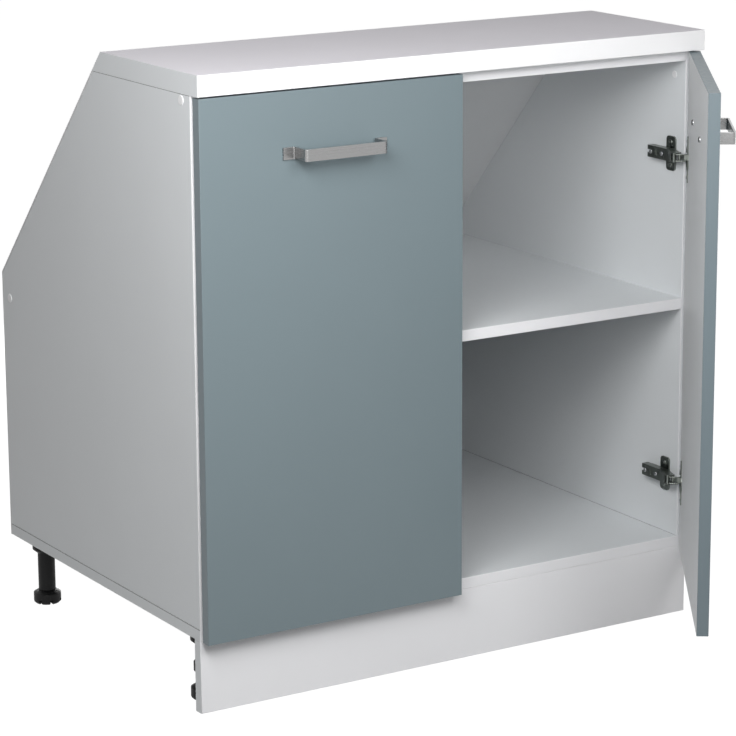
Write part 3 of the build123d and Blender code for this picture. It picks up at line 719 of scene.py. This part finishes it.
def wind_thread(axis):
    """Ridge of the thread, wound round the axis of a foot."""
    start = axis + Vector((thread_radius - ridge_radius, 0, thread_level))
    bpy.ops.object.select_all(action="DESELECT")
    bpy.ops.mesh.primitive_circle_add(vertices=4, radius=ridge_radius, fill_type="NGON",
                                      rotation=(radians(90), 0, 0), location=start)
    ridge = bpy.context.object
    bpy.ops.object.transform_apply(location=True, rotation=True, scale=True)
    ridge.data.transform(Matrix.Translation(-axis))
    winding = ridge.modifiers.new("winding", "SCREW")
    winding.angle = radians(360)
    winding.screw_offset = thread_pitch
    winding.iterations = thread_turns
    winding.steps = 24
    winding.render_steps = 24
    winding.use_merge_vertices = False
    select_only(ridge)
    bpy.ops.object.modifier_apply(modifier=winding.name)
    ridge.data.transform(Matrix.Translation(axis))
    bpy.ops.object.mode_set(mode="EDIT")
    bpy.ops.mesh.select_all(action="SELECT")
    bpy.ops.mesh.fill_holes(sides=4)
    bpy.ops.mesh.normals_make_consistent(inside=False)
    bpy.ops.object.mode_set(mode="OBJECT")
    return ridge


for corner in ("front_left", "front_right", "rear_left", "rear_right"):
    leg = joined_copy(f"{corner}_leg", f"moulded_{corner}_leg")
    round_off(leg, leg_rounding)
    dress(leg, black_plastic)
    fit_in(leg, "carcass", "black_plastic", f"{corner}_leg")
    foot = joined_copy(f"{corner}_foot", f"threaded_{corner}_foot")
    low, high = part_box(f"{corner}_foot")
    axis = Vector(((low[0] + high[0]) / 2, (low[1] + high[1]) / 2, 0))
    screwed = Matrix.Rotation(foot_turn, 4, "Z")
    foot.data.transform(Matrix.Translation(axis) @ screwed @ Matrix.Translation(-axis))
    deepen_notches(foot, axis)
    round_off(foot, foot_rounding)
    thin_stem(foot, axis)
    ridge = wind_thread(axis)
    select_only(foot)
    ridge.select_set(True)
    bpy.ops.object.join()
    dress(foot, black_plastic)
    fit_in(foot, f"{corner}_foot", "black_plastic", f"{corner}_foot")
clips = joined_copy("plinth_clips", "moulded_plinth_clips")
round_off(clips, foot_rounding)
dress(clips, black_plastic)
fit_in(clips, "carcass", "black_plastic", "plinth_clips")


# Studio. A floor that looks white and keeps the shadow, soft lights above the front, in front, at the left,
# behind and at the right, and white surroundings for the camera and for what metal reflects.

room_light = 0.13
floor_tone = 0.36
floor_glow = 1.38
glow_share = 0.72  # of what the camera sees of the floor


def white_for_the_camera(tree):
    """1 where the camera, a reflection or a refraction looks, and 0 for the light on the object."""
    rays = add_node(tree, "ShaderNodeLightPath").outputs
    seen = add_node(tree, "ShaderNodeMath", {0: rays["Is Camera Ray"], 1: rays["Is Glossy Ray"]},
                    operation="MAXIMUM")
    return add_node(tree, "ShaderNodeMath", {0: seen.outputs[0], 1: rays["Is Transmission Ray"]},
                    operation="MAXIMUM").outputs[0]


surroundings = bpy.data.worlds.new("surroundings")
surroundings.use_nodes = True
bpy.context.scene.world = surroundings
tree = surroundings.node_tree
strength = add_node(tree, "ShaderNodeMapRange", {
    "Value": white_for_the_camera(tree), "To Min": room_light, "To Max": 1.0})
tree.nodes["Background"].inputs["Color"].default_value = (1, 1, 1, 1)
tree.links.new(strength.outputs[0], tree.nodes["Background"].inputs["Strength"])

bpy.ops.object.select_all(action="DESELECT")
bpy.ops.mesh.primitive_plane_add(size=60)
floor = bpy.context.object
floor.name = "studio_floor"
floor_paint = bpy.data.materials.new("white floor")
floor_paint.use_nodes = True
tree = floor_paint.node_tree
shader = tree.nodes["Principled BSDF"]
shader.inputs["Base Color"].default_value = (floor_tone, floor_tone, floor_tone, 1)
shader.inputs["Roughness"].default_value = 0.9
shader.inputs["Specular IOR Level"].default_value = 0.0
glow = add_node(tree, "ShaderNodeEmission", {"Color": (1, 1, 1, 1), "Strength": floor_glow})
share = add_node(tree, "ShaderNodeMath", {0: white_for_the_camera(tree), 1: glow_share}, operation="MULTIPLY")
mixed = add_node(tree, "ShaderNodeMixShader", {0: share.outputs[0], 1: shader.outputs[0], 2: glow.outputs[0]})
tree.links.new(mixed.outputs[0], tree.nodes["Material Output"].inputs["Surface"])
floor.data.materials.append(floor_paint)


def soft_light(name, place, target, size, power):
    """Square studio light at a place, turned to a target. Power in watts."""
    bpy.ops.object.light_add(type="AREA", location=place)
    light = bpy.context.object
    light.name = name
    light.data.shape = "SQUARE"
    light.data.size = size
    light.data.energy = power
    light.rotation_euler = (Vector(target) - Vector(place)).to_track_quat("-Z", "Y").to_euler()


soft_light("high light", (0.1, -1.5, 1.6), (0.0, 0.0, 0.6), 0.6, 8.8)
soft_light("front light", (-0.55, -1.1, 1.05), (0.1, 0.0, 0.6), 0.6, 7.1)
soft_light("left light", (-1.0, -0.75, 1.35), (-0.2, 0.1, 0.6), 0.6, 11.9)
soft_light("rear light", (0.7, 2.1, 0.43), (0.0, 0.4, 0.45), 0.8, 21)
soft_light("right light", (2.3, 0.4, 0.6), (0.4, 0.25, 0.45), 1.0, 18)


# Camera. It stands where the photograph was taken, in front and to the left, above the worktop, and looks
# down on the unit and to the right. Angles are in degrees.

camera_place = (-2.153, -3.263, 1.376)
camera_down = 13.8
camera_tilt = 0.3
camera_right = 31.82
bpy.ops.object.camera_add(location=camera_place,
                          rotation=(radians(90 - camera_down), radians(camera_tilt), radians(-camera_right)))
camera = bpy.context.object
camera.data.sensor_width = 36
camera.data.lens = 144.9
bpy.context.scene.camera = camera
bpy.context.scene.view_settings.view_transform = "Standard"
